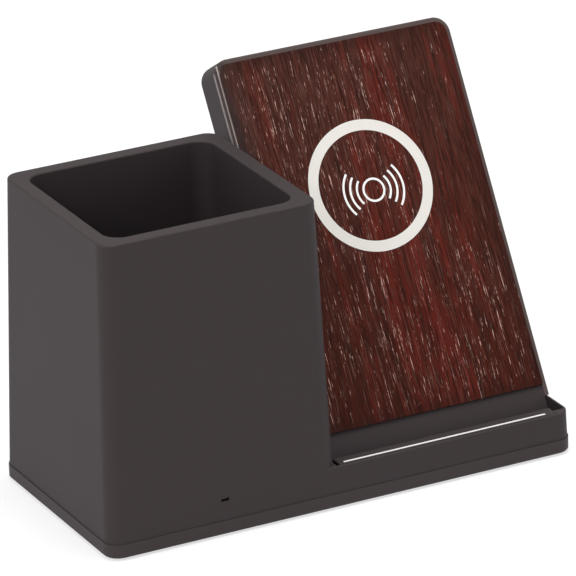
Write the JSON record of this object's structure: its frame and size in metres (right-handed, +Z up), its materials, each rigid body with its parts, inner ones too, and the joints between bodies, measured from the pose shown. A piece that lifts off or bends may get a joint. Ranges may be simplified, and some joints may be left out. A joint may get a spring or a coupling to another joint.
{
  "type": "pen holder with charging stand",
  "caption": "Square pen cup joined to a leaning wireless charging stand with a wood-faced panel, a glowing ring and a lit phone trough.",
  "frame": {"origin": "on the desk, under the middle of the whole object's box", "axes": "+X to the right seen from the front, +Y to the back, +Z up; the panel faces -Y and up"},
  "size_m": [0.166, 0.092, 0.1242],
  "materials": {
    "body_plastic": "fine satin grain, warm dark grey",
    "rubber": "plain",
    "clear_plastic": "clear, polished edges",
    "milky_plastic": "milky, satin",
    "wood_veneer": "dark red-brown open-pored veneer under lacquer",
    "white_foil": "white diffusing plastic",
    "circuit_board": "green solder mask",
    "light_package": "white package with a yellow window",
    "copper_wire": "enamelled copper wire",
    "ferrite": "pressed ferrite sheet",
    "inner_plastic": "moulded, unpainted",
    "screw_steel": "zinc plated",
    "socket_steel": "nickel plated",
    "lead_sleeve": "soft sleeve"
  },
  "bodies": {
    "root": {"upper_housing": "body_plastic", "bottom_cover": "body_plastic", "rubber_feet": "rubber", "cover_screws": "screw_steel", "stand_shell": "body_plastic", "front_frame": "body_plastic", "panel_core": "clear_plastic", "wood_veneer": "wood_veneer", "veneer_disc": "wood_veneer", "light_ring": "milky_plastic", "light_guide": "white_foil", "ring_board": "circuit_board", "ring_lights": "light_package", "charging_coil": "copper_wire", "ferrite_sheet": "ferrite", "coil_bracket": "inner_plastic", "bracket_screws": "screw_steel", "charger_board": "circuit_board", "charger_board_screws": "screw_steel", "stand_screws": "screw_steel", "toe_strip": "body_plastic", "light_bar": "milky_plastic", "light_bar_board": "circuit_board", "light_bar_lights": "light_package", "main_board": "circuit_board", "main_board_screws": "screw_steel", "charging_socket": "socket_steel", "status_light": "light_package", "light_pipe": "clear_plastic", "stand_lead": "lead_sleeve"}
  },
  "joints": []
}
